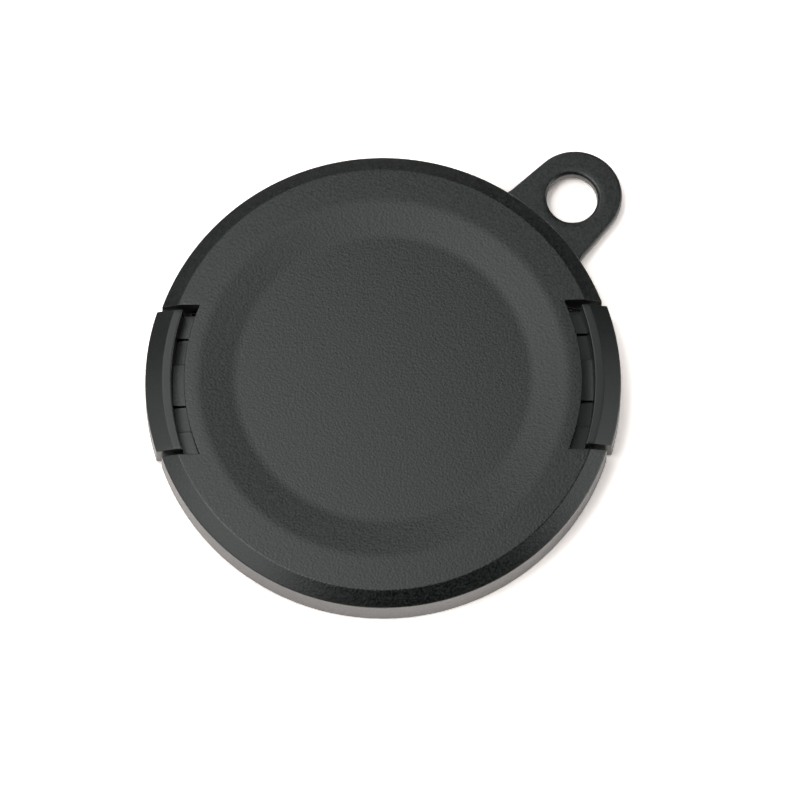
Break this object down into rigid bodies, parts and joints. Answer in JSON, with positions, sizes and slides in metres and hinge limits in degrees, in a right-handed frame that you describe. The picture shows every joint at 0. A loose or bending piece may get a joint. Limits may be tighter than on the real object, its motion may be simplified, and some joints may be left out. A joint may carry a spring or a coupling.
{
  "type": "housing port cap",
  "caption": "Round clip-on cap for a camera housing's port, with a dished face, chamfered rim, side finger clips on springs and a lanyard tab.",
  "frame": {"origin": "centre of the skirt's foot, on the axis of the port that the cap closes", "axes": "+Z out through the face, +X along the clips' slide towards the right-hand clip, +Y away from the viewer of the picture; the lanyard tab lies between +X and +Y"},
  "size_m": [0.0782, 0.0777, 0.0078],
  "materials": {
    "cap_plastic": "fine-grained matte black",
    "clip_plastic": "smooth satin black",
    "keeper_plastic": "satin black",
    "spring_steel": "bright drawn wire"
  },
  "bodies": {
    "cap": {"cap_body": "cap_plastic", "left_keeper": "keeper_plastic", "right_keeper": "keeper_plastic", "left_front_spring": "spring_steel", "left_rear_spring": "spring_steel", "right_front_spring": "spring_steel", "right_rear_spring": "spring_steel"},
    "left_clip": {"left_clip": "clip_plastic"},
    "right_clip": {"right_clip": "clip_plastic"}
  },
  "joints": [
    {"name": "left_clip_slide", "type": "slide", "parent": "cap", "child": "left_clip", "axis": [1, 0, 0], "range_m": [0, 0.0017], "stiffness_N_per_m": 1200, "springref_m": -0.0016, "deforming": ["left_front_spring", "left_rear_spring"]},
    {"name": "right_clip_slide", "type": "slide", "parent": "cap", "child": "right_clip", "axis": [-1, 0, 0], "range_m": [0, 0.0017], "stiffness_N_per_m": 1200, "springref_m": -0.0016, "deforming": ["right_front_spring", "right_rear_spring"]}
  ]
}
